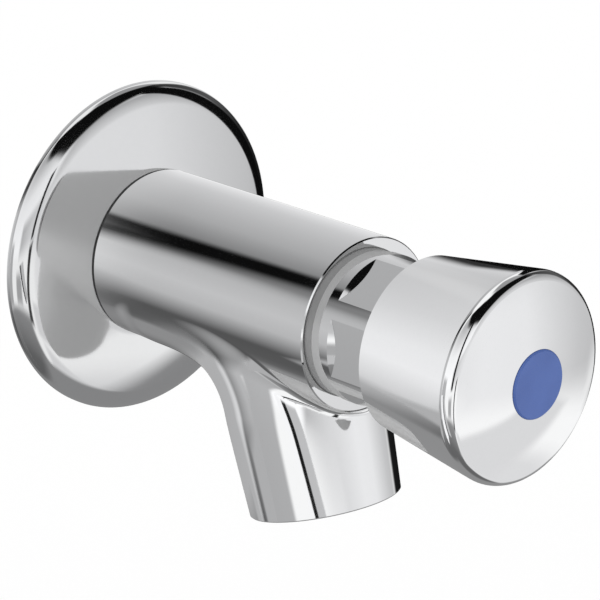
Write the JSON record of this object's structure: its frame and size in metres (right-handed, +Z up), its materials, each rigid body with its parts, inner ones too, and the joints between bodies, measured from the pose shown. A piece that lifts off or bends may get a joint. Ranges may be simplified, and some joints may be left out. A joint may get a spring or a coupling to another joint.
{
  "type": "push timed tap",
  "caption": "Chromed wall tap with a dished rose, round body, leaning spout and half-inch tail; pressing its flared button opens a spring-closed timing valve.",
  "frame": {"origin": "on the tap's axis in the plane of the wall, where the inlet tail leaves the rose", "axes": "+Y along the inlet tail into the wall, +Z up, +X to the right of someone who faces the tap"},
  "size_m": [0.072, 0.1299, 0.0821],
  "materials": {
    "chrome_plate": "polished chrome plate over brass",
    "bare_brass": "turned brass",
    "stainless": "drawn stainless steel",
    "black_rubber": "moulded rubber",
    "white_acetal": "moulded acetal",
    "blue_plastic": "satin moulded plastic"
  },
  "bodies": {
    "tap_body": {"body_casting": "chrome_plate", "wall_rose": "chrome_plate", "tail_washer": "black_rubber", "seat_gasket": "black_rubber", "inlet_strainer": "white_acetal", "cartridge_sleeve": "white_acetal", "sleeve_o_ring": "black_rubber", "cartridge_head": "chrome_plate", "head_o_ring": "black_rubber", "seal_washer": "bare_brass", "spindle_seal": "black_rubber", "guide_bush": "white_acetal", "timing_pin": "stainless", "outlet_o_ring": "black_rubber", "outlet_ring": "chrome_plate", "flow_straightener": "white_acetal", "return_spring": "stainless"},
    "push_button": {"button_cap": "chrome_plate", "index_disc": "blue_plastic", "button_screw": "stainless", "spindle": "bare_brass", "piston": "white_acetal", "piston_seal": "black_rubber", "piston_clip": "stainless", "valve_washer": "black_rubber", "washer_plate": "bare_brass", "valve_nut": "bare_brass"}
  },
  "joints": [
    {"name": "button_press", "type": "slide", "parent": "tap_body", "child": "push_button", "axis": [0, 1, 0], "range_m": [0, 0.008], "stiffness_N_per_m": 1500, "springref_m": -0.012, "deforming": ["return_spring"]}
  ]
}
